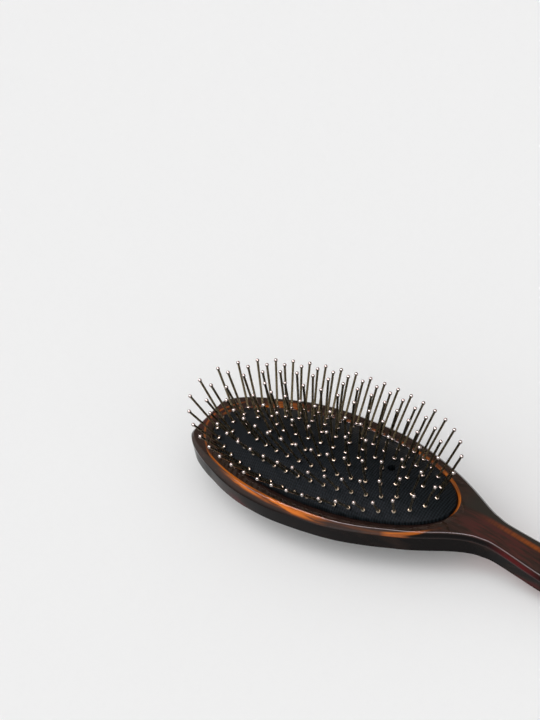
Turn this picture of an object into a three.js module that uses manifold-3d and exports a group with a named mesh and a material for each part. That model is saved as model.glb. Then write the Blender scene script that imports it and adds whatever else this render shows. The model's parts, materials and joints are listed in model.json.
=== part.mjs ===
// Scalp massage brush: a one-piece handle with an air cushion of black rubber
// and steel ball-tipped pins standing on it in nested ovals.
// Millimetres, +X from the pad towards the handle's end, +Z out of the pad.
import * as THREE from "three";
import { mergeVertices } from "three/addons/utils/BufferGeometryUtils.js";
import Module from "manifold-3d";

const wasm = await Module();
wasm.setup();

// Cushion
const padLength = 96.5;
const padWidth = 40;
const domeRise = 7.2;
const domePower = 1.14;
const rubberWall = 2;
const skirtWall = 1.6;
const flangeReach = 1.7;
const flangeThickness = 1.8;
const breatherDiameter = 2.9;
const breatherAlongShare = 0.483;
const breatherAcrossShare = 0.125;

// Head around the cushion
const toeRim = 5.5;
const sideRim = 6.6;
const lipDepth = 2.2;
const lipChamfer = 0.8;
const chamberDepth = 9;
const chamberFloorShare = 0.7;
const bevelWidth = 2.4;
const bevelDrop = 2.1;
const endBevelWidth = 1.1;
const endBevelDrop = 0.9;
const bevelFullX = -30;
const bevelFadeX = -8;
const bevelEndX = 28;
const cornerRadius = 0.4;
const wallDepth = 7.8;
const bellyDepth = 20;
const toeDepth = 9.5;
const bellyFlatLength = 28;
const bellyFlatShare = 0.3;
const bellyPower = 1.3;
const toeFlatWidth = 17;
const toeCrownInset = 0.2;
const wallInset = 0.2;

// Neck and grip
const neckX = 69;
const neckWidth = 12;
const neckDepth = 13;
const neckDepthX = 57;
const gripDepthX = 92;
const dropStartX = 49;
const dropEndX = 96;
const gripDrop = 9.5;
const swellX = 96;
const swellWidth = 15.4;
const gripX = 136;
const gripWidth = 21;
const gripCrown = 0.8;
const gripCrownShare = 0.5;
const gripWallDepth = 6.4;
const endX = 170.5;
const endRound = 20;

// Pins
const pinLength = 17;
const pinDiameter = 0.84;
const ballDiameter = 1.4;
const collarDiameter = 1.7;
const collarHeight = 0.8;
const ballNeckShare = 0.8;
const endClearance = 4.25;
const sideClearance = 1.36;
const innerOvalLength = 46;
const innerOvalWidth = 9.8;
const ovalEndShares = [0, 0.28, 0.56, 1];
const ovalCounts = [40, 34, 28, 17];
const ovalStarts = [0, 0.25, 0.25, 0];
const ovalCentreX = -2;
const middleCount = 7;
const middlePitch = 5.1;
const middleCentreX = -3.4;
const rowNames = ["outer", "second", "third", "inner", "middle"];
const stripCounts = [8, 7, 6, 5, 2];
const sideLean = THREE.MathUtils.degToRad(42.5);
const endLean = THREE.MathUtils.degToRad(29);
const uprightX = -3;
const stripWidth = 2;
const stripThickness = 1;
const stripOverhang = 1.1;

// Fits and facets
const weldDistance = 1e-4;
const ovalDivisions = 800;
const fit = 0.3;
const outlineSteps = 64;
const ovalSides = 36;
const pinSides = 4;
const breatherSides = 12;
const footPasses = 12;
const cornerAngles = [0, 45, 90];
const endAngles = [20, 45, 70, 90];
const bellyShares = [0.92, 0.78, 0.55];
const domeShares = [0, 0.3, 0.55, 0.8, 0.98];
const innerShares = [0.86, 0.55, 0.3, 0];

// Outline of the head as pairs: share of the way from toe to neck, share of the widest half
const headCurve = [
  [0.016, 0.431],
  [0.036, 0.52],
  [0.063, 0.602],
  [0.1, 0.691],
  [0.129, 0.747],
  [0.18, 0.844],
  [0.238, 0.926],
  [0.291, 0.97],
  [0.369, 1],
  [0.47, 0.978],
  [0.559, 0.926],
  [0.639, 0.833],
  [0.721, 0.703],
  [0.77, 0.617],
  [0.815, 0.52],
  [0.861, 0.409],
  [0.908, 0.301],
  [0.943, 0.249],
];

const padHalfLength = padLength / 2;
const padHalfWidth = padWidth / 2;
const toeX = -(padHalfLength + toeRim);
const headHalfWidth = padHalfWidth + sideRim;
const outerHalfLength = padHalfLength - endClearance;
const outerHalfWidth = padHalfWidth - sideClearance;
const { smoothstep, lerp } = THREE.MathUtils;

function toSolid(geometry) {
  geometry.deleteAttribute("normal");
  geometry.deleteAttribute("uv");
  const merged = mergeVertices(geometry, weldDistance);
  const index = merged.index.array;
  const kept = [];
  for (let i = 0; i < index.length; i += 3) {
    const [a, b, c] = index.slice(i, i + 3);
    if (a !== b && b !== c && a !== c) kept.push(a, b, c);
  }
  const vertProperties = merged.attributes.position.array;
  const triVerts = new Uint32Array(kept);
  return new wasm.Manifold(new wasm.Mesh({ numProp: 3, vertProperties, triVerts }));
}

function toMesh(solid, name, material) {
  const { vertProperties, triVerts } = solid.getMesh();
  const geometry = new THREE.BufferGeometry();
  geometry.setAttribute("position", new THREE.BufferAttribute(vertProperties, 3));
  geometry.setIndex(new THREE.BufferAttribute(triVerts, 1));
  geometry.computeVertexNormals();
  const mesh = new THREE.Mesh(geometry, material);
  mesh.name = name;
  return mesh;
}

// Skin over a stack of closed rings of equal count, first ring and last ring closed to their middles
function ringSkin(rings) {
  const count = rings[0].length;
  const points = rings.flat();
  const index = [];
  for (let r = 0; r + 1 < rings.length; r++) {
    for (let i = 0; i < count; i++) {
      const next = (i + 1) % count;
      const [a, b] = [r * count + i, r * count + next];
      const [c, d] = [a + count, b + count];
      index.push(a, c, b, b, c, d);
    }
  }
  const geometry = new THREE.BufferGeometry().setFromPoints(points);
  geometry.setIndex(index);
  return toSolid(geometry);
}

// Ring of an oval that follows the pad's edge: a share of the pad's size, grown by some millimetres
function ovalRing(share, grow, height) {
  const ring = [];
  for (let i = 0; i < ovalSides; i++) {
    const angle = (2 * Math.PI * i) / ovalSides;
    const x = (padHalfLength * share + grow) * Math.cos(angle);
    const y = (padHalfWidth * share + grow) * Math.sin(angle);
    ring.push(new THREE.Vector3(x, y, typeof height === "function" ? height(x, y) : height));
  }
  return ring;
}

function domeHeight(x, y) {
  const share = (x / padHalfLength) ** 2 + (y / padHalfWidth) ** 2;
  return domeRise * (1 - Math.min(share, 1) ** domePower);
}

function domeNormal(x, y) {
  const step = 0.01;
  const slopeX = (domeHeight(x + step, y) - domeHeight(x - step, y)) / (2 * step);
  const slopeY = (domeHeight(x, y + step) - domeHeight(x, y - step)) / (2 * step);
  return new THREE.Vector3(-slopeX, -slopeY, 1).normalize();
}

// Handle body: levels of the outline from the flat top over the bevel and wall to the back
function halfOutline() {
  const points = [
    new THREE.Vector2(toeX, 0),
    new THREE.Vector2(toeX + toeCrownInset, toeFlatWidth / 2),
  ];
  for (const [along, share] of headCurve) {
    points.push(new THREE.Vector2(lerp(toeX, neckX, along), headHalfWidth * share));
  }
  points.push(new THREE.Vector2(neckX, neckWidth / 2));
  points.push(new THREE.Vector2(swellX, swellWidth / 2));
  points.push(new THREE.Vector2(gripX, gripWidth / 2));
  for (const degrees of endAngles) {
    const angle = THREE.MathUtils.degToRad(degrees);
    const x = endX - endRound + endRound * Math.sin(angle);
    points.push(new THREE.Vector2(x, (gripWidth / 2) * Math.cos(angle)));
  }
  return new THREE.SplineCurve(points).getSpacedPoints(outlineSteps);
}

function topAt(x) {
  return -gripDrop * smoothstep(x, dropStartX, dropEndX);
}

function depthAt(x) {
  const flat = bellyFlatLength / 2;
  if (x < 0) return lerp(bellyDepth, toeDepth, smoothstep(-x, flat, -toeX));
  const head = lerp(bellyDepth, neckDepth, smoothstep(x, flat, neckDepthX));
  return lerp(head, bellyDepth, smoothstep(x, neckDepthX, gripDepthX));
}

// Share of the full bevel, which is widest along the sides of the head
function bevelShare(x) {
  return smoothstep(x, toeX, bevelFullX) * (1 - smoothstep(x, bevelFadeX, bevelEndX));
}

function bodyLevel(outline, insetAt, share, heightAt) {
  const spineStart = toeX + headHalfWidth / 2;
  const spineEnd = endX - endRound / 2;
  return outline.map((point) => {
    const spine = new THREE.Vector2(THREE.MathUtils.clamp(point.x, spineStart, spineEnd), 0);
    const reach = point.distanceTo(spine);
    const scale = share * (1 - insetAt(point.x) / reach);
    const place = spine.clone().lerp(point, scale);
    return new THREE.Vector3(place.x, place.y, heightAt(point.x));
  });
}

function handleBody() {
  const half = halfOutline();
  const back = half.slice(1, -1).reverse();
  const outline = [...half.map((p) => new THREE.Vector2(p.x, -p.y)), ...back];
  const gripShare = (x) => smoothstep(x, dropStartX, dropEndX);
  const flush = () => 0;
  const ridgeInset = (x) => lerp(endBevelWidth, bevelWidth, bevelShare(x));
  const cornerTop = (x) => topAt(x) - lerp(endBevelDrop, bevelDrop, bevelShare(x));
  const wallAt = (x) => topAt(x) - lerp(wallDepth, gripWallDepth, gripShare(x));
  const crownAt = (x) => topAt(x) + gripCrown * gripShare(x);
  const levels = [
    bodyLevel(outline, flush, 0, crownAt),
    bodyLevel(outline, ridgeInset, gripCrownShare, crownAt),
    bodyLevel(outline, ridgeInset, 1, topAt),
  ];
  for (const degrees of cornerAngles) {
    const angle = THREE.MathUtils.degToRad(degrees);
    const inset = cornerRadius * (1 - Math.sin(angle));
    const fall = cornerRadius * (1 - Math.cos(angle));
    levels.push(bodyLevel(outline, () => inset, 1, (x) => cornerTop(x) - fall));
  }
  levels.push(bodyLevel(outline, () => wallInset, 1, wallAt));
  for (const share of [...bellyShares, bellyFlatShare, 0]) {
    const rise = Math.max(0, (share - bellyFlatShare) / (1 - bellyFlatShare)) ** bellyPower;
    levels.push(bodyLevel(outline, flush, share, (x) => lerp(-depthAt(x), wallAt(x), rise)));
  }
  const above = domeRise;
  const grooveTop = -lipDepth;
  const grooveBottom = grooveTop - flangeThickness - 2 * fit;
  const well = ringSkin([
    ovalRing(0, 0, above),
    ovalRing(1, fit + lipChamfer, above),
    ovalRing(1, fit + lipChamfer, 0),
    ovalRing(1, fit, -lipChamfer),
    ovalRing(1, fit, grooveTop),
    ovalRing(1, flangeReach + 2 * fit, grooveTop),
    ovalRing(1, flangeReach + 2 * fit, grooveBottom),
    ovalRing(1, fit, grooveBottom),
    ovalRing(chamberFloorShare, 0, -chamberDepth),
    ovalRing(0, 0, -chamberDepth),
  ]);
  return ringSkin(levels).subtract(well);
}

// Rows of pins seen from above: nested ovals, and a straight row along the middle
function ovalRow(count, oval) {
  const halfLength = lerp(outerHalfLength, innerOvalLength / 2, ovalEndShares[oval]);
  const halfWidth = lerp(outerHalfWidth, innerOvalWidth / 2, oval / (ovalCounts.length - 1));
  const curve = new THREE.EllipseCurve(ovalCentreX, 0, halfLength, halfWidth);
  curve.arcLengthDivisions = ovalDivisions;
  const places = Array.from({ length: count }, (_, i) => (i + ovalStarts[oval]) / count);
  return places.map((share) => curve.getPointAt(share));
}

function middleRow() {
  const reach = ((middleCount - 1) / 2) * middlePitch;
  const start = new THREE.Vector2(middleCentreX - reach, 0);
  const end = new THREE.Vector2(middleCentreX + reach, 0);
  return new THREE.LineCurve(start, end).getPoints(middleCount - 1);
}

// Where each pin of a row stands on the dome, and which way it leans
function pinPlaces(row) {
  return row.map(({ x, y }) => {
    const base = new THREE.Vector3(x, y, domeHeight(x, y));
    const leanX = (Math.tan(endLean) * (x - uprightX)) / padHalfLength;
    const leanY = (Math.tan(sideLean) * y) / padHalfWidth;
    const lean = new THREE.Vector3(leanX, leanY, 1).normalize();
    const under = rubberWall + 2 * fit + stripThickness / 2;
    const foot = base.clone();
    let reach = 0;
    for (let pass = 0; pass < footPasses; pass++) {
      reach = (base.z - domeHeight(foot.x, foot.y) + under) / lean.z;
      foot.copy(base).addScaledVector(lean, -reach);
    }
    return { base, lean, foot, reach };
  });
}

function alongLean(geometry, place) {
  const turn = new THREE.Quaternion().setFromUnitVectors(new THREE.Vector3(0, 1, 0), place.lean);
  geometry.applyQuaternion(turn);
  geometry.translate(place.base.x, place.base.y, place.base.z);
  return toSolid(geometry);
}

function pin(place) {
  const shaft = pinDiameter / 2;
  const ball = ballDiameter / 2;
  const collar = collarDiameter / 2;
  const profile = [
    [0, -place.reach],
    [shaft, -place.reach],
    [shaft, fit],
    [collar, fit + collarHeight / 2],
    [shaft, fit + collarHeight],
    [shaft, pinLength - ball * ballNeckShare],
    [ball, pinLength],
    [0, pinLength + ball],
  ];
  const points = profile.map(([radius, height]) => new THREE.Vector2(radius, height));
  return alongLean(new THREE.LatheGeometry(points, pinSides), place);
}

function pinHole(place) {
  const radius = pinDiameter / 2 + fit * Math.SQRT2;
  const length = place.reach + 2 * domeRise;
  return alongLean(new THREE.CylinderGeometry(radius, radius, length, pinSides), place);
}

// Strip of backing under the rubber that carries the feet of neighbouring pins
function backingStrip(places) {
  const path = places.map((place) => place.foot.clone());
  const first = path[0].clone().sub(path[1]).setLength(stripOverhang).add(path[0]);
  const last = path.at(-1).clone().sub(path.at(-2)).setLength(stripOverhang).add(path.at(-1));
  path.unshift(first);
  path.push(last);
  const rings = path.map((point, i) => {
    const before = path[Math.max(i - 1, 0)];
    const after = path[Math.min(i + 1, path.length - 1)];
    const up = domeNormal(point.x, point.y).setLength(stripThickness / 2);
    const side = up.clone().cross(after.clone().sub(before)).setLength(stripWidth / 2);
    return [
      point.clone().add(side).add(up),
      point.clone().add(side).sub(up),
      point.clone().sub(side).sub(up),
      point.clone().sub(side).add(up),
    ];
  });
  const middle = (ring) => ring.map(() => ring[0].clone().lerp(ring[2], 0.5));
  return ringSkin([middle(rings[0]), ...rings, middle(rings.at(-1))]);
}

function rubberCushion(places) {
  const skirtFoot = -lipDepth - fit;
  const flangeFoot = skirtFoot - flangeThickness;
  const under = (x, y) => domeHeight(x, y) - rubberWall;
  const body = ringSkin([
    ...domeShares.map((share) => ovalRing(share, 0, domeHeight)),
    ovalRing(1, 0, -fit),
    ovalRing(1, 0, skirtFoot),
    ovalRing(1, flangeReach + fit, skirtFoot),
    ovalRing(1, flangeReach + fit, flangeFoot),
    ovalRing(1, -skirtWall, flangeFoot),
    ovalRing(1, -skirtWall, under),
    ...innerShares.map((share) => ovalRing(share, 0, under)),
  ]);
  const vent = breatherDiameter / 2;
  const breather = new THREE.CylinderGeometry(vent, vent, bellyDepth, breatherSides);
  breather.rotateX(Math.PI / 2);
  breather.translate(padHalfLength * breatherAlongShare, padHalfWidth * breatherAcrossShare, 0);
  const cuts = places.map(pinHole);
  cuts.push(toSolid(breather));
  return cuts.reduce((rubber, cut) => rubber.subtract(cut), body);
}

const tortoiseshell = new THREE.MeshStandardMaterial({ color: 0x4a2018, roughness: 0.12, metalness: 0 });
const rubber = new THREE.MeshStandardMaterial({ color: 0x1f1f22, roughness: 0.6, metalness: 0 });
const steel = new THREE.MeshStandardMaterial({ color: 0x8f8b80, roughness: 0.2, metalness: 1 });

const brush = new THREE.Group();
brush.add(toMesh(handleBody(), "handle_body", tortoiseshell));
const rows = [...ovalCounts.map(ovalRow), middleRow()].map(pinPlaces);
brush.add(toMesh(rubberCushion(rows.flat()), "rubber_cushion", rubber));
rows.forEach((places, row) => {
  const stripLength = places.length / stripCounts[row];
  for (let i = 0; i < stripCounts[row]; i++) {
    const group = places.slice(Math.round(i * stripLength), Math.round((i + 1) * stripLength));
    const strip = group.map(pin).reduce((joined, one) => joined.add(one), backingStrip(group));
    brush.add(toMesh(strip, `pins_${rowNames[row]}_${i + 1}`, steel.clone()));
  }
});

// Origin under the middle of the whole brush, on the surface that it lies on
const box = new THREE.Box3().setFromObject(brush, true);
brush.position.set(-(box.min.x + box.max.x) / 2, 0, -box.min.z);

export default brush;
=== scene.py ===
import json
import math
import bmesh
import bpy
from mathutils import Euler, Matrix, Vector
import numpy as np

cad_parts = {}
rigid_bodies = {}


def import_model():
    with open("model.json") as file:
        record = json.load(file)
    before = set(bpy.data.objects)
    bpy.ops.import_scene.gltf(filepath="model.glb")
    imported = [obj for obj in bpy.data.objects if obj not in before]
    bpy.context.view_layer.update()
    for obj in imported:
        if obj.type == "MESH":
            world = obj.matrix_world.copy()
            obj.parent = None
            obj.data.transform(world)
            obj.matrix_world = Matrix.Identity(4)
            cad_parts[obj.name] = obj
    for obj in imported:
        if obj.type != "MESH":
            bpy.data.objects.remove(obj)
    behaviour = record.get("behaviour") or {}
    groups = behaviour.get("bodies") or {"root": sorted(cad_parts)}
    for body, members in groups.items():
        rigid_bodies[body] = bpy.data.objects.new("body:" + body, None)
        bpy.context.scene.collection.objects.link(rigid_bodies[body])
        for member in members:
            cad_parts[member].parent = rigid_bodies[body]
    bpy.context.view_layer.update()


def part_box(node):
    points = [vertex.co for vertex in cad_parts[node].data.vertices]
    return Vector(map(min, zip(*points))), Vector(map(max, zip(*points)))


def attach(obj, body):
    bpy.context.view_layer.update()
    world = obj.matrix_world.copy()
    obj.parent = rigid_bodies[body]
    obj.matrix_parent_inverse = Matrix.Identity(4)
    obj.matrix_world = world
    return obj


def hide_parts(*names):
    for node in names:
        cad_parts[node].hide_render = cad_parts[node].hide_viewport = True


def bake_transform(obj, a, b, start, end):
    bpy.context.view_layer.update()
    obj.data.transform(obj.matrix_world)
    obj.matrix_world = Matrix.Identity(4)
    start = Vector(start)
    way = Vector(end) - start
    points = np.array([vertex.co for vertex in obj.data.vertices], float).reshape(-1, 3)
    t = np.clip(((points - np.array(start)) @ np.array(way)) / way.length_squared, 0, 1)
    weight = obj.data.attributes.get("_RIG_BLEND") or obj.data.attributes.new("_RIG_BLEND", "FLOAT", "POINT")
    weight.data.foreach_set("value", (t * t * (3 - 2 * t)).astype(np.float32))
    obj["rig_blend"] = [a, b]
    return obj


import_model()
scene = bpy.context.scene
scene.view_settings.view_transform = "Standard"
mm = 0.001
weldGap = 1e-6  # vertices nearer than this, in metres, become one
steps = {  # how finely the round forms are cut
    "outline": 200, "curve": 60, "oval": 144, "row": 2400, "vent": 24, "pin": 8, "foot": 12,
}

# the pad: an oval dome of rubber, and the place of its middle in the CAD
pad = {"halfLength": 48.25, "halfWidth": 20.0, "rise": 7.2, "power": 1.14}
padLow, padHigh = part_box("rubber_cushion")
padMiddle = Vector(((padLow.x + padHigh.x) / 2, 0, padHigh.z - pad["rise"] * mm))


def inFrame(x, y, z):  # millimetres from the pad's middle to metres in the frame
    return padMiddle + Vector((x, y, z)) * mm


def lerp(a, b, share):
    return a + (b - a) * share


def smooth(x, low, high):
    t = min(max((x - low) / (high - low), 0), 1)
    return t * t * (3 - 2 * t)


def domeHeight(x, y):
    share = (x / pad["halfLength"]) ** 2 + (y / pad["halfWidth"]) ** 2
    return pad["rise"] * (1 - min(share, 1) ** pad["power"])


def extrudeTo(bm, ring, points):  # pulls a new ring out of a ring of vertices, onto the points
    edges = [bm.edges.get((a, b)) for a, b in zip(ring, ring[1:] + ring[:1])]
    made = bmesh.ops.extrude_edge_only(bm, edges=edges)["geom"]
    inRing = set(ring)
    pulled = {}
    for v in made:
        if isinstance(v, bmesh.types.BMVert):
            for e in v.link_edges:
                if e.other_vert(v) in inRing:
                    pulled[e.other_vert(v)] = v
    for v, p in zip(ring, points):
        pulled[v].co = p
    return [pulled[v] for v in ring]


def closeLong(bm, ring):  # ladder of faces across a long thin ring
    n, half = len(ring), len(ring) // 2
    for i in range(half):
        loop = [ring[i], ring[i + 1], ring[-i - 1], ring[-i % n]]
        bm.faces.new(list(dict.fromkeys(loop)))


def skin(bm, rings, close="face"):  # a closed form through a stack of rings of points
    first = [bm.verts.new(p) for p in rings[0]]
    for a, b in zip(first, first[1:] + first[:1]):
        bm.edges.new((a, b))
    last = first
    for points in rings[1:]:
        last = extrudeTo(bm, last, points)
    for ring in (first, last):
        if close == "ladder":
            closeLong(bm, ring)
        else:
            bm.faces.new(ring)


def finished(bm, name):  # welds the mesh, turns its faces outwards and makes the piece
    bmesh.ops.remove_doubles(bm, verts=bm.verts, dist=weldGap)
    bmesh.ops.recalc_face_normals(bm, faces=bm.faces)
    mesh = bpy.data.meshes.new(name)
    bm.to_mesh(mesh)
    bm.free()
    piece = bpy.data.objects.new(name, mesh)
    scene.collection.objects.link(piece)
    return piece


def smoothed(piece, degrees):  # smooth shading, with edges left sharp from this angle on
    piece.data.shade_smooth()
    piece.data.set_sharp_from_angle(angle=math.radians(degrees))
    return piece


def cutBy(piece, cutter):  # takes the cutter out of the piece and throws the cutter away
    cut = piece.modifiers.new("cut", "BOOLEAN")
    cut.object = cutter
    cut.operation = "DIFFERENCE"
    cut.solver = "EXACT"
    depsgraph = bpy.context.evaluated_depsgraph_get()
    mesh = bpy.data.meshes.new_from_object(piece.evaluated_get(depsgraph))
    piece.modifiers.clear()
    old = piece.data
    piece.data = mesh
    bpy.data.meshes.remove(old)
    bpy.data.objects.remove(cutter)
    mesh.name = piece.name


def ovalRing(share, grow, height, count):  # a share of the pad's outline, grown by millimetres
    ring = []
    for i in range(count):
        angle = 2 * math.pi * i / count
        x = (pad["halfLength"] * share + grow) * math.cos(angle)
        y = (pad["halfWidth"] * share + grow) * math.sin(angle)
        ring.append(inFrame(x, y, height(x, y) if callable(height) else height))
    return ring


# node helpers for the finishes
def newFinish(name):
    finish = bpy.data.materials.new(name)
    finish.use_nodes = True
    tree = finish.node_tree
    return finish, tree, tree.nodes["Principled BSDF"]


def feed(tree, socket, value):
    if isinstance(value, bpy.types.NodeSocket):
        tree.links.new(value, socket)
    else:
        socket.default_value = value


def calc(tree, operation, *values):
    node = tree.nodes.new("ShaderNodeMath")
    node.operation = operation
    for socket, value in zip(node.inputs, values):
        feed(tree, socket, value)
    return node.outputs[0]


def ramp(tree, value, low, high, start=0.0, end=1.0):  # soft step from start to end
    node = tree.nodes.new("ShaderNodeMapRange")
    node.interpolation_type = "SMOOTHSTEP"
    given = {"Value": value, "From Min": low, "From Max": high, "To Min": start, "To Max": end}
    for name, content in given.items():
        feed(tree, node.inputs[name], content)
    return node.outputs["Result"]


def makePadPlace():  # shared nodes: millimetres from the pad's middle
    group = bpy.data.node_groups.new("padPlace", "ShaderNodeTree")
    group.interface.new_socket("Place", in_out="OUTPUT", socket_type="NodeSocketVector")
    coords = group.nodes.new("ShaderNodeTexCoord")
    shift = group.nodes.new("ShaderNodeMapping")
    shift.vector_type = "TEXTURE"
    shift.inputs["Location"].default_value = padMiddle
    shift.inputs["Scale"].default_value = (mm, mm, mm)
    group.links.new(coords.outputs["Object"], shift.inputs["Vector"])
    group.links.new(shift.outputs["Vector"], group.nodes.new("NodeGroupOutput").inputs["Place"])
    return group


padPlace = makePadPlace()


def placed(tree, scale=(1, 1, 1)):
    start = tree.nodes.new("ShaderNodeGroup")
    start.node_tree = padPlace
    stretch = tree.nodes.new("ShaderNodeMapping")
    stretch.inputs["Scale"].default_value = scale
    tree.links.new(start.outputs["Place"], stretch.inputs["Vector"])
    return stretch.outputs["Vector"]


def axes(tree):
    parts = tree.nodes.new("ShaderNodeSeparateXYZ")
    tree.links.new(placed(tree), parts.inputs[0])
    return parts.outputs["X"], parts.outputs["Y"], parts.outputs["Z"]


def cloud(tree, vector, scale, detail, distortion=0.0):
    node = tree.nodes.new("ShaderNodeTexNoise")
    node.inputs["Scale"].default_value = scale
    node.inputs["Detail"].default_value = detail
    node.inputs["Distortion"].default_value = distortion
    tree.links.new(vector, node.inputs["Vector"])
    return node.outputs["Fac"]


def grain(tree, stretch, *noise):  # noise laid from the pad's middle
    return cloud(tree, placed(tree, stretch), *noise)


def product(tree, first, *others):
    for other in others:
        first = calc(tree, "MULTIPLY", first, other)
    return first


def greatest(tree, first, *others):
    for other in others:
        first = calc(tree, "MAXIMUM", first, other)
    return first


def weighed(tree, first, second, weights):
    shares = [calc(tree, "MULTIPLY", v, w) for v, w in zip((first, second), weights)]
    return calc(tree, "ADD", *shares)


def between(tree, value, low, high, soft):  # 1 from low to high, with soft ends
    rise = ramp(tree, value, low - soft, low + soft)
    fall = ramp(tree, value, high - soft, high + soft, 1.0, 0.0)
    return product(tree, rise, fall)


def colours(tree, value, stops):
    node = tree.nodes.new("ShaderNodeValToRGB")
    band = node.color_ramp
    while len(band.elements) < len(stops):
        band.elements.new(0.5)
    for element, (place, colour) in zip(band.elements, stops):
        element.position = place
        element.color = (*colour, 1)
    feed(tree, node.inputs["Fac"], value)
    return node.outputs["Color"]


def mixed(tree, share, a, b):
    node = tree.nodes.new("ShaderNodeMix")
    node.data_type = "RGBA"
    feed(tree, node.inputs["Factor"], share)
    feed(tree, node.inputs["A"], a)
    feed(tree, node.inputs["B"], b)
    return node.outputs["Result"]


def bumped(tree, height, distance, strength):
    node = tree.nodes.new("ShaderNodeBump")
    node.inputs["Strength"].default_value = strength
    node.inputs["Distance"].default_value = distance
    tree.links.new(height, node.inputs["Height"])
    return node.outputs["Normal"]


# camera at the photograph's viewing angle, its place in millimetres from the pad's middle
camera = {
    "place": (321.1, -383.9, 460.8), "turn": (50.143, 7.403, 35.461), "lens": 100, "sensor": 36,
}
eye = bpy.data.objects.new("eye", bpy.data.cameras.new("eye"))
eye.data.lens = camera["lens"]
eye.data.sensor_width = camera["sensor"]
eye.location = inFrame(*camera["place"])
eye.rotation_euler = Euler([math.radians(a) for a in camera["turn"]], "XYZ")
scene.collection.objects.link(eye)
scene.camera = eye

# studio: pale floor, soft light from all round and what shiny faces mirror
studio = {
    "floorSize": 6.0,
    "floorColour": (0.86, 0.86, 0.86, 1), "floorRoughness": 0.9, "floorSheen": 0.1,
    "backdrop": (0.86, 0.86, 0.86, 1),
    "turn": (-0.25, 0.35),  # where the room goes over from the viewer's side to the far one
    "nearDome": (1.40, 1.40, 1.40), "farDome": (0.40, 0.40, 0.40),  # the light of each side
    "nearMirror": (0.90, 0.87, 0.82), "farMirror": (0.42, 0.34, 0.29),  # what mirrors show there
    "box": (16.0, 14.0, 14.8, 1),  # a lamp that only mirrors show
    "boxAcross": (-0.56, -0.14, 0.04), "boxRise": (0.70, 0.95, 0.04),  # from, to and soft edge
    "sun": {"from": (-0.25, -0.35, 0.9), "strength": 0.28, "spread": 30},
}


def makeFloor():
    bm = bmesh.new()
    bmesh.ops.create_grid(bm, x_segments=1, y_segments=1, size=studio["floorSize"] / 2)
    floor = finished(bm, "floor")
    finish, tree, shader = newFinish("paleFloor")
    shader.inputs["Base Color"].default_value = studio["floorColour"]
    shader.inputs["Roughness"].default_value = studio["floorRoughness"]
    shader.inputs["Specular IOR Level"].default_value = studio["floorSheen"]
    floor.data.materials.append(finish)


def makeRoom():
    world = bpy.data.worlds.new("room")
    world.use_nodes = True
    scene.world = world
    tree = world.node_tree
    coords = tree.nodes.new("ShaderNodeTexCoord")
    parts = tree.nodes.new("ShaderNodeSeparateXYZ")
    tree.links.new(coords.outputs["Generated"], parts.inputs[0])
    away = ramp(tree, parts.outputs["Y"], *studio["turn"])
    mirror = colours(tree, away, [(0, studio["nearMirror"]), (1, studio["farMirror"])])
    box = product(tree, between(tree, parts.outputs["Y"], *studio["boxAcross"]),
                  between(tree, parts.outputs["Z"], *studio["boxRise"]))
    mirror = mixed(tree, box, mirror, studio["box"])
    path = tree.nodes.new("ShaderNodeLightPath")
    dome = colours(tree, away, [(0, studio["nearDome"]), (1, studio["farDome"])])
    room = mixed(tree, path.outputs["Is Glossy Ray"], dome, mirror)
    seen = mixed(tree, path.outputs["Is Camera Ray"], room, studio["backdrop"])
    tree.links.new(seen, tree.nodes["Background"].inputs["Color"])


def makeSun():
    lamp = studio["sun"]
    light = bpy.data.lights.new("sun", "SUN")
    light.energy = lamp["strength"]
    light.angle = math.radians(lamp["spread"])
    holder = bpy.data.objects.new("sun", light)
    holder.rotation_euler = Vector(lamp["from"]).to_track_quat("Z", "Y").to_euler()
    scene.collection.objects.link(holder)


makeFloor()
makeRoom()
makeSun()
print("studio: floor, room and sun set")


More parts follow.
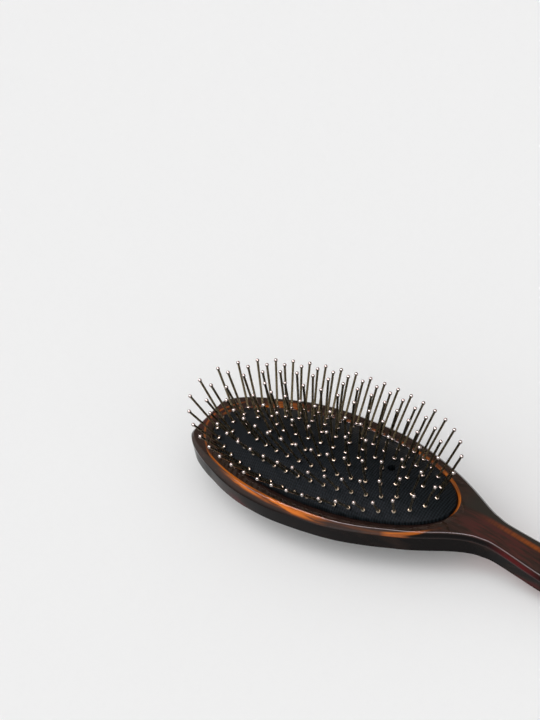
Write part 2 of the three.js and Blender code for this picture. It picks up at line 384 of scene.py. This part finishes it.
# tortoiseshell plastic: near black where thick, with amber painted in as glow where light would shine
# through the thin rim, and a painted highlight along the rim's ridge
tortoise = {
    "black": (0.004, 0.003, 0.003),
    "darkBrown": (0.014, 0.008, 0.006),
    "brown": (0.030, 0.013, 0.010),
    "redBrown": (0.055, 0.014, 0.012),
    # deepRed: the plastic's own tone in the wall, and painted light shining through on the neck's near bevel
    "deepRed": (0.06, 0.006, 0.007),
    # olive: painted dark reflection on the far side of the neck's top
    "olive": (0.018, 0.016, 0.013),
    # amber: painted glow of light shining through the thin plastic
    "amberDark": (0.17, 0.034, 0.005),
    "amberBright": (0.58, 0.145, 0.010),
    "swirl": ((0.5, 1.5, 1.0), 0.05, 4, 1.6),  # noises: stretch, scale, detail and distortion
    "streak": ((0.05, 1.0, 0.6), 0.9, 3, 0.6),
    "fine": ((1, 1, 1), 0.6, 2, 0.4),
    "ripple": ((0.5, 1, 1), 0.08, 1),
    "rimStretch": 0.06, "rimNoise": (1.5, 3, 0.4),
    "toneWeights": (0.45, 0.55),
    "land": ((0.35, "darkBrown"), (0.65, "brown")),
    "grip": ((0.36, "darkBrown"), (0.5, "brown"), (0.62, "redBrown")),
    "wall": ((0.45, "black"), (0.6, "darkBrown"), (0.74, "deepRed")),
    "drop": (49.0, 96.0, 0.0, -9.5),  # where the top sinks along the neck, and by how much
    "topFrom": (-2.6, -1.4), "gripFrom": (44.0, 60.0),  # places in millimetres, as soft steps
    "oliveFrom": (44.0, 54.0), "oliveSide": (2.6, 4.2),
    "toeFrom": (-48.5, -51.0), "toeAcross": (-6.0, 6.0, 3.0), "toeShare": 0.8,
    # where the neck's near bevel is painted black as a dark reflection, turning deep red as painted light
    # shining through
    "edgeDown": (-1.8, -0.4, 0.2), "edgeFrom": (36.0, 44.0), "edgeSide": (0.0, -3.0),
    "edgeRed": (68.0, 82.0, 5.0),
    "roughness": (0.3, 0.7, 0.03, 0.07), "ior": 1.45, "rippleBump": (0.0001, 0.3),
    "glossFrom": (-2.4, -1.6), "wallGloss": (-48.0, -30.0, 0.02, 0.08), "topGloss": 0.38,
    "edgeGloss": (0.0, 1.0, 1.0, 0.25),
    "glowTurn": (20.0, 62.0),  # the light that passes through is tinted for the head and the grip
    "headGlow": (0.12, 0.10, 0.10, 1), "gripGlow": (0.92, 0.60, 0.58, 1),
}
amber = {  # where the painted glow and painted ridge highlight go, as soft steps or as from, to and soft end (millimetres)
    "nearSide": (-6.0, -12.0), "farSide": (2.0, 6.0), "toe": (-42.0, -49.0), "top": (-2.5, -1.9),
    "ridge": (-38.0, -49.0, 4.2, 2.9),  # how far outside the pad's edge the rim's ridge stands
    "bandOut": (0.0, 1.4, 0.4), "bandAlong": (-27.0, 9.0, 8.0),
    "bandGrain": (0.36, 0.55, 0.35, 1.0),  # grains and cuts are values of the noise
    "lineOut": (-0.25, 0.35, 0.25), "lineFade": (8.0, 18.0, 0.8, 0.1),
    "lineAgain": (33.0, 46.0, 2.0), "againShare": 0.8, "lineToe": (-46.0, -34.0, 0.6, 1.0),
    "dashNoise": ((1, 0, 0), 0.36, 1), "dashCut": (0.46, 0.58), "dashFill": (16.0, 30.0, 0.0, 0.7),
    "ringOut": (0.45, 1.35, 0.3), "ringShare": 0.8,
    "patchOut": (0.35, 3.2, 0.4), "patchAlong": (-36.0, -26.0, 4.0), "patchShare": 0.7,
    "crescentOut": (0.5, 1.3, 0.3), "crescentFrom": (40.0, 44.0), "crescentSide": (-1.0, 9.0, 3.0),
    "streakMiddle": 2.4, "streakWide": (0.3, 1.5, 1.0, 0.0), "streakAlong": (66.0, 140.0, 12.0),
    "streakShare": 0.75,
    "brightGrain": (0.3, 0.6), "brightOut": (5.0, 6.0, 1.0, 0.25),
}


def shade(name):
    return (*tortoise[name], 1)


def shades(tree, value, name):  # a named row of stops between the plastic's shades
    return colours(tree, value, [(place, tortoise[stop]) for place, stop in tortoise[name]])


def padDistance(tree, x, y):  # how far outside the pad's edge a place lies
    squares, slopes = [], []
    for axis, half in ((x, pad["halfLength"]), (y, pad["halfWidth"])):
        share = calc(tree, "DIVIDE", axis, half)
        squares.append(calc(tree, "MULTIPLY", share, share))
        slope = calc(tree, "DIVIDE", share, half)
        slopes.append(calc(tree, "MULTIPLY", slope, slope))
    reach = calc(tree, "SQRT", calc(tree, "ADD", *squares))
    steep = calc(tree, "DIVIDE", calc(tree, "SQRT", calc(tree, "ADD", *slopes)), reach)
    return calc(tree, "DIVIDE", calc(tree, "SUBTRACT", reach, 1.0), steep)


def paintedLightParts(tree, x, y, grow, under, rimStreak):  # how much painted glow and painted ridge highlight there is at a place
    def step(value, name):
        return ramp(tree, value, *amber[name])

    def span(value, name):
        return between(tree, value, *amber[name])

    nearSide, farSide = step(y, "nearSide"), step(y, "farSide")
    onTop, out = step(under, "top"), calc(tree, "SUBTRACT", grow, step(x, "ridge"))
    # band: glow painted on the near bevel
    band = product(tree, span(out, "bandOut"), onTop, nearSide, span(x, "bandAlong"))
    band = product(tree, band, step(rimStreak, "bandGrain"))
    # a painted highlight along the rim's ridge, fading towards the neck and the toe, and again near the neck
    # end
    paintedRidgeHighlight = product(tree, span(out, "lineOut"), onTop, greatest(tree, nearSide, step(x, "toe")))
    again = product(tree, span(x, "lineAgain"), amber["againShare"])
    lit = greatest(tree, step(x, "lineFade"), again)
    paintedRidgeHighlight = product(tree, paintedRidgeHighlight, lit, step(x, "lineToe"))
    # ring: glow painted just inside the far rim, broken into dashes by noise
    dashes = step(grain(tree, *amber["dashNoise"]), "dashCut")
    dashes = greatest(tree, dashes, step(x, "dashFill"))
    ring = product(tree, span(grow, "ringOut"), onTop, farSide, dashes, amber["ringShare"])
    # patch: glow painted on the far rim towards the toe
    patch = product(tree, span(grow, "patchOut"), onTop, farSide)
    patch = product(tree, patch, span(x, "patchAlong"), amber["patchShare"])
    # crescent: glow painted round the pad's end at the neck
    crescent = product(tree, span(grow, "crescentOut"), onTop, step(x, "crescentFrom"))
    crescent = product(tree, crescent, span(y, "crescentSide"))
    # streak along the neck: partly the plastic's own amber streak, partly painted glow of light shining
    # through
    off = calc(tree, "ABSOLUTE", calc(tree, "SUBTRACT", y, amber["streakMiddle"]))
    streak = product(tree, step(off, "streakWide"), span(x, "streakAlong"), onTop)
    streak = product(tree, streak, amber["streakShare"])
    return greatest(tree, band, paintedRidgeHighlight, ring, patch, crescent, streak)


def letThrough(tree, shader, tint):  # tinted light passes through to the floor
    path = tree.nodes.new("ShaderNodeLightPath")
    clear = tree.nodes.new("ShaderNodeBsdfTransparent")
    tree.links.new(tint, clear.inputs["Color"])
    both = tree.nodes.new("ShaderNodeMixShader")
    tree.links.new(path.outputs["Is Shadow Ray"], both.inputs[0])
    tree.links.new(shader.outputs[0], both.inputs[1])
    tree.links.new(clear.outputs[0], both.inputs[2])
    tree.links.new(both.outputs[0], tree.nodes["Material Output"].inputs["Surface"])


def tortoiseFinish():
    finish, tree, shader = newFinish("tortoiseshell")

    def step(value, name):
        return ramp(tree, value, *tortoise[name])

    def span(value, name):
        return between(tree, value, *tortoise[name])

    x, y, z = axes(tree)
    grow = padDistance(tree, x, y)
    under = calc(tree, "SUBTRACT", z, step(x, "drop"))  # height over the top's own line
    swirl = grain(tree, *tortoise["swirl"])
    rim = tree.nodes.new("ShaderNodeCombineXYZ")
    feed(tree, rim.inputs[0], calc(tree, "MULTIPLY", x, tortoise["rimStretch"]))
    feed(tree, rim.inputs[1], grow)
    rimStreak = cloud(tree, rim.outputs[0], *tortoise["rimNoise"])
    tone = weighed(tree, swirl, grain(tree, *tortoise["streak"]), tortoise["toneWeights"])
    top = mixed(tree, step(x, "gripFrom"), shades(tree, tone, "land"), shades(tree, tone, "grip"))
    # the far side of the neck's top painted dark olive: a painted reflection
    paintedReflectionBand = product(tree, step(x, "oliveFrom"), step(y, "oliveSide"))
    top = mixed(tree, paintedReflectionBand, top, shade("olive"))
    onToe = product(tree, step(x, "toeFrom"), span(y, "toeAcross"), tortoise["toeShare"])
    top = mixed(tree, onToe, top, shade("redBrown"))
    base = mixed(tree, step(under, "topFrom"), shades(tree, swirl, "wall"), top)
    # the neck's near bevel: painted dark reflection in black, and deep red further along as painted light
    # shining through; the band also keeps less gloss
    edge = mixed(tree, span(x, "edgeRed"), shade("black"), shade("deepRed"))
    paintedEdgeBand = product(tree, span(under, "edgeDown"), step(x, "edgeFrom"), step(y, "edgeSide"))
    base = mixed(tree, paintedEdgeBand, base, edge)
    # the painted glow is brighter in grains within a few millimetres of the pad's edge
    bright = product(tree, ramp(tree, rimStreak, *amber["brightGrain"]),
                     ramp(tree, grow, *amber["brightOut"]))
    paintedGlow = mixed(tree, bright, shade("amberDark"), shade("amberBright"))
    share = paintedLightParts(tree, x, y, grow, under, rimStreak)
    feed(tree, shader.inputs["Base Color"], mixed(tree, share, base, paintedGlow))
    fine = grain(tree, *tortoise["fine"])
    feed(tree, shader.inputs["Roughness"], step(fine, "roughness"))
    feed(tree, shader.inputs["IOR"], tortoise["ior"])
    wallGloss = step(x, "wallGloss")
    gloss = ramp(tree, under, *tortoise["glossFrom"], wallGloss, tortoise["topGloss"])
    gloss = product(tree, gloss, step(paintedEdgeBand, "edgeGloss"))
    feed(tree, shader.inputs["Specular IOR Level"], gloss)
    ripple = grain(tree, *tortoise["ripple"])
    feed(tree, shader.inputs["Normal"], bumped(tree, ripple, *tortoise["rippleBump"]))
    tint = mixed(tree, step(x, "glowTurn"), tortoise["headGlow"], tortoise["gripGlow"])
    letThrough(tree, shader, tint)
    return finish


# black rubber with a fine cloth-like weave moulded in
rubberLook = {
    # low and high: the hollows and the painted light on the weave's crests
    "low": (0.0015, 0.0025, 0.003), "high": (0.0110, 0.0145, 0.0175), "stops": (0.2, 0.9),
    "weave": 0.88, "weftShare": 0.6, "span": (-1.6, 1.6), "dust": ((1, 1, 1), 0.9, 2),
    "toneWeights": (0.75, 0.25), "roughness": (0.3, 0.7, 0.5, 0.62), "sheen": 0.05,
    "bump": (0.00008, 1.0),
}


def rubberFinish():
    finish, tree, shader = newFinish("blackRubber")
    x, y = axes(tree)[:2]
    turns = 2 * math.pi / rubberLook["weave"]
    warp, weft = (calc(tree, "SINE", calc(tree, "MULTIPLY", axis, turns)) for axis in (x, y))
    threads = calc(tree, "ADD", warp, calc(tree, "MULTIPLY", weft, rubberLook["weftShare"]))
    # raised threads are painted lighter than the hollows between them: painted light on the weave's crests,
    # over its moulded bump
    weave = ramp(tree, threads, *rubberLook["span"])
    dust = grain(tree, *rubberLook["dust"])
    tone = weighed(tree, weave, dust, rubberLook["toneWeights"])
    ends = list(zip(rubberLook["stops"], (rubberLook["low"], rubberLook["high"])))
    feed(tree, shader.inputs["Base Color"], colours(tree, tone, ends))
    feed(tree, shader.inputs["Roughness"], ramp(tree, dust, *rubberLook["roughness"]))
    feed(tree, shader.inputs["Specular IOR Level"], rubberLook["sheen"])
    feed(tree, shader.inputs["Normal"], bumped(tree, weave, *rubberLook["bump"]))
    return finish


# steel wire, polished bright on its balls and collars
steelLook = {
    # dark and pale: the wire's grain, darkened and tinted olive as a painted reflection of the brown plastic
    # and dark room round it
    "dark": (0.21, 0.175, 0.105), "pale": (0.34, 0.285, 0.185), "stops": (0.3, 0.7),
    "polished": (0.36, 0.32, 0.30, 1), "polishedRoughness": 0.14,
    "drawn": ((1, 1, 0.2), 2.2, 2), "satin": (0.3, 0.7, 0.24, 0.34),
}


def steelFinish():
    finish, tree, shader = newFinish("steelWire")
    drawn = grain(tree, *steelLook["drawn"])
    # the wire's own grain, with its olive tint a painted reflection
    ends = list(zip(steelLook["stops"], (steelLook["dark"], steelLook["pale"])))
    wireWithPaintedReflection = colours(tree, drawn, ends)
    worn = tree.nodes.new("ShaderNodeAttribute")
    worn.attribute_name = "polish"
    polish = worn.outputs["Fac"]
    feed(tree, shader.inputs["Base Color"], mixed(tree, polish, wireWithPaintedReflection, steelLook["polished"]))
    feed(tree, shader.inputs["Metallic"], 1.0)
    satin = ramp(tree, drawn, *steelLook["satin"])
    roughness = ramp(tree, polish, 0.0, 1.0, satin, steelLook["polishedRoughness"])
    feed(tree, shader.inputs["Roughness"], roughness)
    return finish


tortoiseshell, blackRubber, steelWire = tortoiseFinish(), rubberFinish(), steelFinish()
print("finishes: tortoiseshell, rubber and steel made")


# handle body: levels of the outline from the top over the ridge, bevel and wall to the back
body = {
    "toeX": -53.75, "toeFlat": 17.0, "toeCrown": 0.2, "headHalf": 26.6,
    "bevelWide": 2.4, "bevelDrop": 2.1, "endBevelWide": 1.1, "endBevelDrop": 0.9,
    "bevelFull": -30.0, "bevelFade": -8.0, "bevelEnd": 28.0,
    "ridgeRound": 0.8, "cornerRound": 0.4, "wallDepth": 7.8, "wallInset": 0.2,
    "bellyDepth": 20.0, "toeDepth": 9.5, "bellyFlat": 28.0, "flatShare": 0.3, "bellyPower": 1.3,
    "neckX": 69.0, "neckWidth": 12.0, "neckDepth": 13.0, "neckDepthX": 57.0, "gripDepthX": 92.0,
    "dropStart": 49.0, "dropEnd": 96.0, "gripDrop": 9.5,
    "swell": (96.0, 15.4), "grip": (136.0, 21.0),  # place along the handle and width there
    "gripWall": 6.4, "endX": 170.5, "endRound": 20.0, "endAngles": (20, 45, 70, 90),
    "crown": 0.8, "crownShare": 0.5,  # the grip's top has a raised flat along its middle
    "ridgeSteps": (0, 0.25, 0.5, 0.75, 1), "cornerAngles": (35, 50, 65, 80, 90),
    "topShares": (0.14, 0.3, 0.42, 0.47, 0.5, 0.53, 0.6, 0.74, 0.88),
    "bellyShares": (0.985, 0.96, 0.92, 0.86, 0.78, 0.67, 0.55, 0.42, 0.3, 0.15),
    "headCurve": (  # shares of the way from toe to neck and of the head's half width
        (0.016, 0.431), (0.036, 0.52), (0.063, 0.602), (0.1, 0.691), (0.129, 0.747),
        (0.18, 0.844), (0.238, 0.926), (0.291, 0.97), (0.369, 1), (0.47, 0.978),
        (0.559, 0.926), (0.639, 0.833), (0.721, 0.703), (0.77, 0.617), (0.815, 0.52),
        (0.861, 0.409), (0.908, 0.301), (0.943, 0.249),
    ),
    "sharp": 38,
}


def throughPoints(points, count):  # evenly spaced points on a smooth curve through the given ones
    fine = []
    last = len(points) - 1
    for i in range(last):
        p0, p1, p2, p3 = (points[min(max(k, 0), last)] for k in (i - 1, i, i + 1, i + 2))
        v0, v1 = (p2 - p0) / 2, (p3 - p1) / 2
        cubic, square = 2 * p1 - 2 * p2 + v0 + v1, 3 * p2 - 3 * p1 - 2 * v0 - v1
        for k in range(steps["curve"]):
            t = k / steps["curve"]
            fine.append(cubic * t**3 + square * t**2 + v0 * t + p1)
    fine.append(points[-1])
    runs = [0.0]
    for a, b in zip(fine, fine[1:]):
        runs.append(runs[-1] + (b - a).length)
    spaced, k = [], 0
    for i in range(count + 1):
        goal = runs[-1] * i / count
        while k < len(runs) - 2 and runs[k + 1] < goal:
            k += 1
        spaced.append(fine[k].lerp(fine[k + 1], (goal - runs[k]) / (runs[k + 1] - runs[k])))
    return spaced


def bodyOutline():
    toe = body["toeX"]
    points = [Vector((toe, 0)), Vector((toe + body["toeCrown"], body["toeFlat"] / 2))]
    for along, share in body["headCurve"]:
        points.append(Vector((lerp(toe, body["neckX"], along), body["headHalf"] * share)))
    points.append(Vector((body["neckX"], body["neckWidth"] / 2)))
    points += [Vector((x, width / 2)) for x, width in (body["swell"], body["grip"])]
    for degrees in body["endAngles"]:
        angle = math.radians(degrees)
        x = body["endX"] - body["endRound"] * (1 - math.sin(angle))
        points.append(Vector((x, body["grip"][1] / 2 * math.cos(angle))))
    half = throughPoints(points, steps["outline"])
    return [Vector((p.x, -p.y)) for p in half] + half[-2:0:-1]


def gripShare(x):
    return smooth(x, body["dropStart"], body["dropEnd"])


def topAt(x):
    return -body["gripDrop"] * gripShare(x)


def bevelAt(x):  # width and drop of the bevel, widest along the sides of the head
    share = smooth(x, body["toeX"], body["bevelFull"])
    share *= 1 - smooth(x, body["bevelFade"], body["bevelEnd"])
    wide = lerp(body["endBevelWide"], body["bevelWide"], share)
    return wide, lerp(body["endBevelDrop"], body["bevelDrop"], share)


def ridgeAt(x, share):  # inset and fall of the rounded ridge, from the flat top to the bevel
    wide, drop = bevelAt(x)
    slope = math.atan2(drop, wide - body["cornerRound"])
    angle, radius = slope * share, body["ridgeRound"]
    inset = wide + radius * (math.tan(slope / 2) - math.sin(angle))
    return inset, radius * (1 - math.cos(angle))


def wallAt(x):
    return topAt(x) - lerp(body["wallDepth"], body["gripWall"], gripShare(x))


def depthAt(x):
    flat = body["bellyFlat"] / 2
    if x < 0:
        return lerp(body["bellyDepth"], body["toeDepth"], smooth(-x, flat, -body["toeX"]))
    head = lerp(body["bellyDepth"], body["neckDepth"], smooth(x, flat, body["neckDepthX"]))
    return lerp(head, body["bellyDepth"], smooth(x, body["neckDepthX"], body["gripDepthX"]))


def bodyLevel(outline, insetAt, share, heightAt):  # the outline drawn in towards the spine
    start = body["toeX"] + body["headHalf"] / 2
    end = body["endX"] - body["endRound"] / 2
    ring = []
    for point in outline:
        spine = Vector((min(max(point.x, start), end), 0))
        scale = share * (1 - insetAt(point.x) / (point - spine).length)
        place = spine.lerp(point, scale)
        ring.append(inFrame(place.x, place.y, heightAt(point.x)))
    return ring


def makeBody():
    outline = bodyOutline()
    rings = []
    for share in body["topShares"]:
        rise = body["crown"] * min(1, (1 - share) / (1 - body["crownShare"]))
        rings.append(bodyLevel(
            outline, lambda x: ridgeAt(x, 0)[0], share, lambda x: topAt(x) + rise * gripShare(x)))
    for share in body["ridgeSteps"]:
        rings.append(bodyLevel(
            outline, lambda x: ridgeAt(x, share)[0], 1, lambda x: topAt(x) - ridgeAt(x, share)[1]))
    for degrees in body["cornerAngles"]:
        angle, radius = math.radians(degrees), body["cornerRound"]
        inset, fall = radius * (1 - math.sin(angle)), radius * (1 - math.cos(angle))
        rings.append(bodyLevel(
            outline, lambda x: inset, 1, lambda x: topAt(x) - bevelAt(x)[1] - fall))
    rings.append(bodyLevel(outline, lambda x: body["wallInset"], 1, wallAt))
    for share in body["bellyShares"]:
        rise = max(0, (share - body["flatShare"]) / (1 - body["flatShare"])) ** body["bellyPower"]
        rings.append(bodyLevel(
            outline, lambda x: 0, share, lambda x: lerp(-depthAt(x), wallAt(x), rise)))
    bm = bmesh.new()
    skin(bm, rings, "ladder")
    return finished(bm, "handleBody")


# well in the head that holds the cushion: shallow dish, lip, groove and air chamber
well = {
    "cutTop": 6, "dish": 3.7, "dishRim": 0.02, "dishDepth": 0.35, "lip": 1.2, "lipFoot": -0.9,
    "fit": 0.3, "grooveTop": -2.2, "grooveFoot": -4.6, "grooveReach": 2.3,
    "floorShare": 0.7, "floor": -9.0,
}


def makeWell():
    count = steps["oval"]
    rings = [
        ovalRing(1, well["dish"], well["cutTop"], count),
        ovalRing(1, well["dish"], well["dishRim"], count),
        ovalRing(1, well["lip"], -well["dishDepth"], count),
        ovalRing(1, well["fit"], well["lipFoot"], count),
        ovalRing(1, well["fit"], well["grooveTop"], count),
        ovalRing(1, well["grooveReach"], well["grooveTop"], count),
        ovalRing(1, well["grooveReach"], well["grooveFoot"], count),
        ovalRing(1, well["fit"], well["grooveFoot"], count),
        ovalRing(well["floorShare"], 0, well["floor"], count),
    ]
    bm = bmesh.new()
    skin(bm, rings)
    return finished(bm, "well")


handleBody = makeBody()
cutBy(handleBody, makeWell())
smoothed(handleBody, body["sharp"])
even = handleBody.modifiers.new("evenShading", "WEIGHTED_NORMAL")
even.keep_sharp = True
handleBody.data.materials.clear()
handleBody.data.materials.append(tortoiseshell)
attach(handleBody, "handle")
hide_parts("handle_body")
print("handle body:", len(handleBody.data.polygons), "faces")


# cushion: thin domed rubber with a skirt and a flange that sits in the groove
cushion = {
    "wall": 2.0, "skirtWall": 1.6, "skirtFoot": -2.5, "flangeReach": 2.0, "flangeFoot": -4.3,
    "edge": -0.3, "edgeInset": 0.12, "edgeRise": 0.02,
    "domeShares": (0.04, 0.15, 0.28, 0.4, 0.5, 0.6, 0.68, 0.76, 0.83, 0.89, 0.94, 0.975),
    "innerShares": (0.86, 0.6, 0.3, 0.05),
    "vent": (0.483, 0.125), "ventWide": 2.9, "ventCut": 20,
    "follow": (-0.3, 0.5),  # heights over the rim between which the dome starts to follow the pins
    "sharp": 40,
}


def underDome(x, y):
    return domeHeight(x, y) - cushion["wall"]


def makeCushion():
    count = steps["oval"]
    rings = [ovalRing(share, 0, domeHeight, count) for share in cushion["domeShares"]]
    rings += [
        ovalRing(1, -cushion["edgeInset"], cushion["edgeRise"], count),
        ovalRing(1, 0, cushion["edge"], count),
        ovalRing(1, 0, cushion["skirtFoot"], count),
        ovalRing(1, cushion["flangeReach"], cushion["skirtFoot"], count),
        ovalRing(1, cushion["flangeReach"], cushion["flangeFoot"], count),
        ovalRing(1, -cushion["skirtWall"], cushion["flangeFoot"], count),
        ovalRing(1, -cushion["skirtWall"], underDome, count),
    ]
    rings += [ovalRing(share, 0, underDome, count) for share in cushion["innerShares"]]
    bm = bmesh.new()
    skin(bm, rings)
    return finished(bm, "rubberCushion")


def makeVent():
    bm = bmesh.new()
    along, across = cushion["vent"]
    middle = inFrame(pad["halfLength"] * along, pad["halfWidth"] * across, 0)
    radius, depth = cushion["ventWide"] / 2 * mm, cushion["ventCut"] * mm
    bmesh.ops.create_cone(
        bm, cap_ends=True, segments=steps["vent"], radius1=radius, radius2=radius, depth=depth)
    bmesh.ops.translate(bm, verts=bm.verts, vec=middle)
    return finished(bm, "vent")


rubberCushion = makeCushion()
cutBy(rubberCushion, makeVent())
smoothed(rubberCushion, cushion["sharp"])
rubberCushion.data.materials.clear()
rubberCushion.data.materials.append(blackRubber)
followLow, followHigh = (inFrame(0, 0, z) for z in cushion["follow"])
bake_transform(rubberCushion, "handle", "pin_bed", start=followLow, end=followHigh)
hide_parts("rubber_cushion")
print("cushion:", len(rubberCushion.data.polygons), "faces")


# pins: four nested ovals and a middle row, leaning outwards more and more towards the edge
pins = {
    "length": 17.0, "shaft": 0.42, "start": 0.3, "collar": 0.85, "collarTall": 0.8, "ball": 0.7,
    "collarRings": ((0.85, 0.12), (1, 0.5), (0.85, 0.88)),  # shares of its radius and its height
    "ballFoot": 0.84, "ballAngles": (-30, 5, 40, 70, 86),
    "endGap": 4.25, "sideGap": 1.36, "innerLong": 46.0, "innerWide": 9.8, "ovalCentre": -2.0,
    "sideLean": 42.5, "endLean": 29.0, "upright": -3.0,
    "ovals": (  # name, pins, strips, place of the first pin, share of the way to the inner ends
        ("outer", 40, 8, 0, 0), ("second", 34, 7, 0.25, 0.28),
        ("third", 28, 6, 0.25, 0.56), ("inner", 17, 5, 0, 1),
    ),
    "middle": ("middle", 7, 2), "middlePitch": 5.1, "middleCentre": -3.4,
    "stripWide": 2.0, "stripThick": 1.0, "stripOver": 1.1, "under": 3.1, "slopeStep": 0.01,
    "sharp": 50,
}


def ovalRow(oval, count, start, endShare):  # evenly spaced points round one of the nested ovals
    inwards = oval / (len(pins["ovals"]) - 1)
    halfLength = lerp(pad["halfLength"] - pins["endGap"], pins["innerLong"] / 2, endShare)
    halfWidth = lerp(pad["halfWidth"] - pins["sideGap"], pins["innerWide"] / 2, inwards)
    turns = [2 * math.pi * i / steps["row"] for i in range(steps["row"] + 1)]
    fine = [(halfLength * math.cos(t), halfWidth * math.sin(t)) for t in turns]
    runs = [0.0]
    for (ax, ay), (bx, by) in zip(fine, fine[1:]):
        runs.append(runs[-1] + math.hypot(bx - ax, by - ay))
    row, k = [], 0
    for i in range(count):
        goal = runs[-1] * (i + start) / count
        while runs[k + 1] < goal:
            k += 1
        share = (goal - runs[k]) / (runs[k + 1] - runs[k])
        x, y = (lerp(a, b, share) for a, b in zip(fine[k], fine[k + 1]))
        row.append((x + pins["ovalCentre"], y))
    return row


def middleRow(count):
    first = (count - 1) / 2
    return [(pins["middleCentre"] + (i - first) * pins["middlePitch"], 0) for i in range(count)]


def pinPlace(x, y):  # where a pin stands on the dome, which way it leans and where its foot ends
    lean = Vector((
        math.tan(math.radians(pins["endLean"])) * (x - pins["upright"]) / pad["halfLength"],
        math.tan(math.radians(pins["sideLean"])) * y / pad["halfWidth"], 1)).normalized()
    root = Vector((x, y, domeHeight(x, y)))
    foot = root.copy()
    reach = 0
    for settle in range(steps["foot"]):
        reach = (root.z - domeHeight(foot.x, foot.y) + pins["under"]) / lean.z
        foot = root - lean * reach
    return {"root": root, "lean": lean, "foot": foot, "reach": reach}


def pinProfile(reach):  # radius, height and polish of each ring from the foot to the tip
    shaft, collar, ball = pins["shaft"], pins["collar"], pins["ball"]
    length, start, tall = pins["length"], pins["start"], pins["collarTall"]
    profile = [(shaft, -reach, 0), (shaft, start, 0)]
    profile += [(collar * wide, start + tall * rise, 1) for wide, rise in pins["collarRings"]]
    profile += [(shaft, start + tall, 0), (shaft, length - ball * pins["ballFoot"], 0)]
    for degrees in pins["ballAngles"]:
        angle = math.radians(degrees)
        profile.append((ball * math.cos(angle), length + ball * math.sin(angle), 1))
    return profile


def addPin(bm, place):
    turn = Vector((0, 0, 1)).rotation_difference(place["lean"])
    angles = [2 * math.pi * i / steps["pin"] for i in range(steps["pin"])]
    rings, shine = [], []
    for radius, height, polished in pinProfile(place["reach"]):
        ring = [Vector((radius * math.cos(a), radius * math.sin(a), height)) for a in angles]
        rings.append([inFrame(*(place["root"] + turn @ point)) for point in ring])
        shine += [polished] * steps["pin"]
    before = len(bm.verts)
    skin(bm, rings)
    bm.verts.ensure_lookup_table()
    polish = bm.verts.layers.float["polish"]
    for vert, polished in zip(bm.verts[before:], shine):
        vert[polish] = polished


def domeUp(x, y):  # the direction straight out of the dome
    step = pins["slopeStep"]
    slopeX = (domeHeight(x + step, y) - domeHeight(x - step, y)) / (2 * step)
    slopeY = (domeHeight(x, y + step) - domeHeight(x, y - step)) / (2 * step)
    return Vector((-slopeX, -slopeY, 1)).normalized()


def addStrip(bm, places):  # backing under the rubber that carries the feet of neighbouring pins
    path = [place["foot"] for place in places]
    path = [path[0] + (path[0] - path[1]).normalized() * pins["stripOver"], *path,
            path[-1] + (path[-1] - path[-2]).normalized() * pins["stripOver"]]
    rings = []
    for i, point in enumerate(path):
        ahead = path[min(i + 1, len(path) - 1)] - path[max(i - 1, 0)]
        up = domeUp(point.x, point.y)
        side = up.cross(ahead).normalized() * (pins["stripWide"] / 2)
        up *= pins["stripThick"] / 2
        corners = (side + up, side - up, -side - up, up - side)
        rings.append([inFrame(*(point + corner)) for corner in corners])
    skin(bm, rings)


pinCount = 0
rows = []
for oval, (name, count, strips, start, endShare) in enumerate(pins["ovals"]):
    rows.append((name, strips, ovalRow(oval, count, start, endShare)))
middleName, middleCount, middleStrips = pins["middle"]
rows.append((middleName, middleStrips, middleRow(middleCount)))
for rowName, strips, row in rows:
    places = [pinPlace(x, y) for x, y in row]
    for strip in range(strips):
        first, last = (math.floor(len(places) * i / strips + 0.5) for i in (strip, strip + 1))
        group = places[first:last]
        bm = bmesh.new()
        bm.verts.layers.float.new("polish")
        addStrip(bm, group)
        for place in group:
            addPin(bm, place)
        piece = smoothed(finished(bm, f"{rowName}Pins{strip + 1}"), pins["sharp"])
        piece.data.materials.append(steelWire)
        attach(piece, "pin_bed")
        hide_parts(f"pins_{rowName}_{strip + 1}")
        pinCount += len(group)
print("pins:", pinCount)
